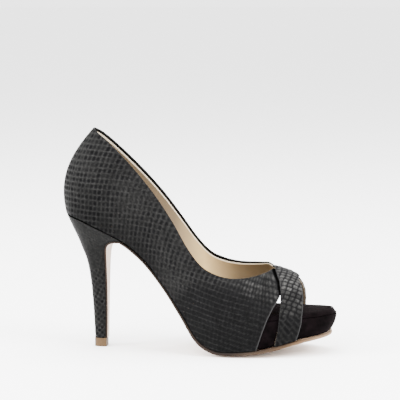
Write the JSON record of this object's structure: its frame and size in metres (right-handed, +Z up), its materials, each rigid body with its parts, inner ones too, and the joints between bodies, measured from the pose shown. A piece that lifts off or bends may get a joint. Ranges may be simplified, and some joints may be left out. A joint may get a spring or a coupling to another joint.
{
  "type": "peep toe pump",
  "caption": "Right-foot peep toe pump with a slender covered heel, a suede-wrapped platform and bands that cross over the toes.",
  "frame": {"origin": "middle of the shoe's box, on the floor", "axes": "+X to the toe, +Y to the inner side of the foot, +Z up"},
  "size_m": [0.2064, 0.0794, 0.1665],
  "materials": {
    "upper": "semi-matte black, embossed with small scales",
    "insole": "black suede at the toe, beige leather sock further back",
    "platform": "matte black suede",
    "outsole": "satin tan leather",
    "heel": "semi-matte black embossed leather over a hard heel",
    "top_piece": "matte tan hard rubber"
  },
  "bodies": {
    "root": {"upper": "upper", "insole": "insole", "platform": "platform", "outsole": "outsole", "heel": "heel", "top_piece": "top_piece"}
  },
  "joints": []
}
